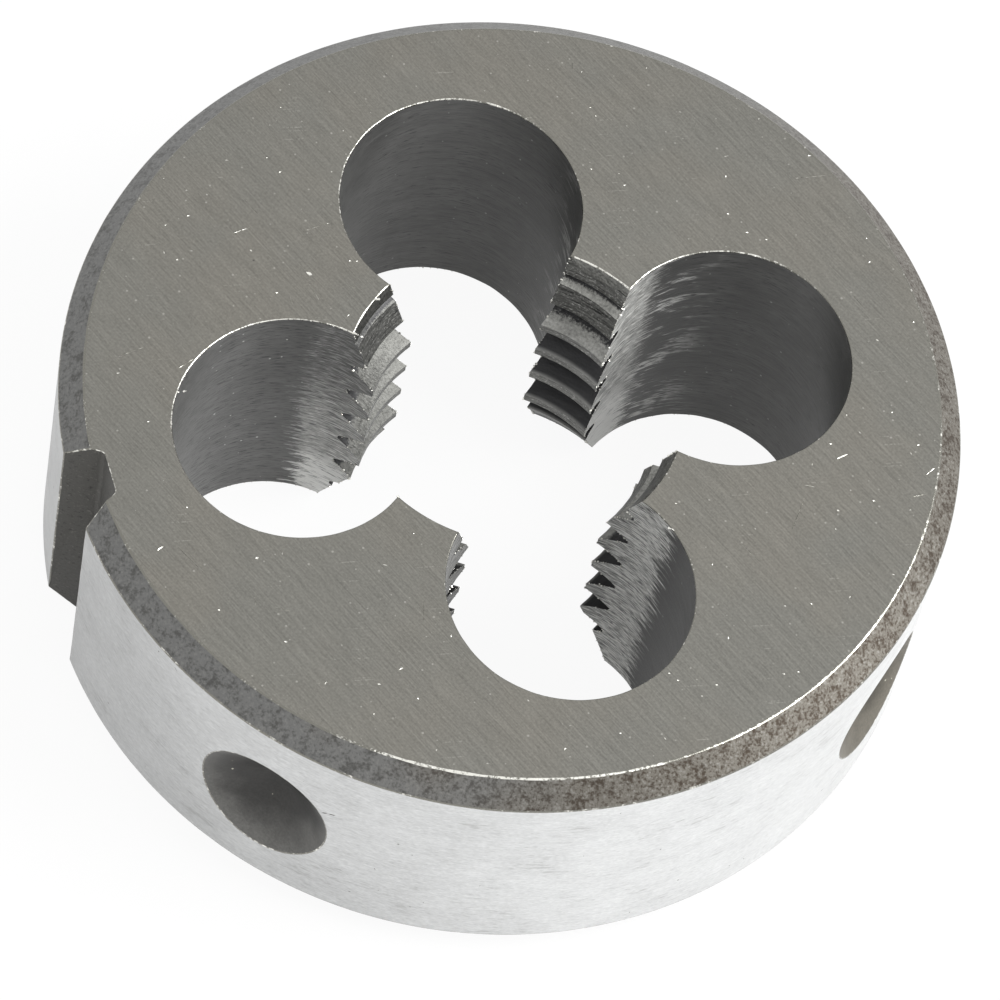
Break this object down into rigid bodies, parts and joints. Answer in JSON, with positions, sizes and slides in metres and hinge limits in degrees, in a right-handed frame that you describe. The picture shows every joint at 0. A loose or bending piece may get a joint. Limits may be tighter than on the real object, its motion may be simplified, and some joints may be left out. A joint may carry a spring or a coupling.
{
  "type": "round threading die",
  "caption": "Round threading die: a steel disc with a toothed threaded centre, clearance holes, a rim notch and conical screw seats.",
  "frame": {"origin": "centre of the bottom face, on the thread's axis", "axes": "+Z along the thread's axis, from the bottom face to the starting face; +X through the middle of one land; the rim notch is towards -X -Y"},
  "size_m": [0.038, 0.038, 0.014],
  "materials": {
    "tool_steel": "ground"
  },
  "bodies": {
    "root": {"die_body": "tool_steel"}
  },
  "joints": []
}
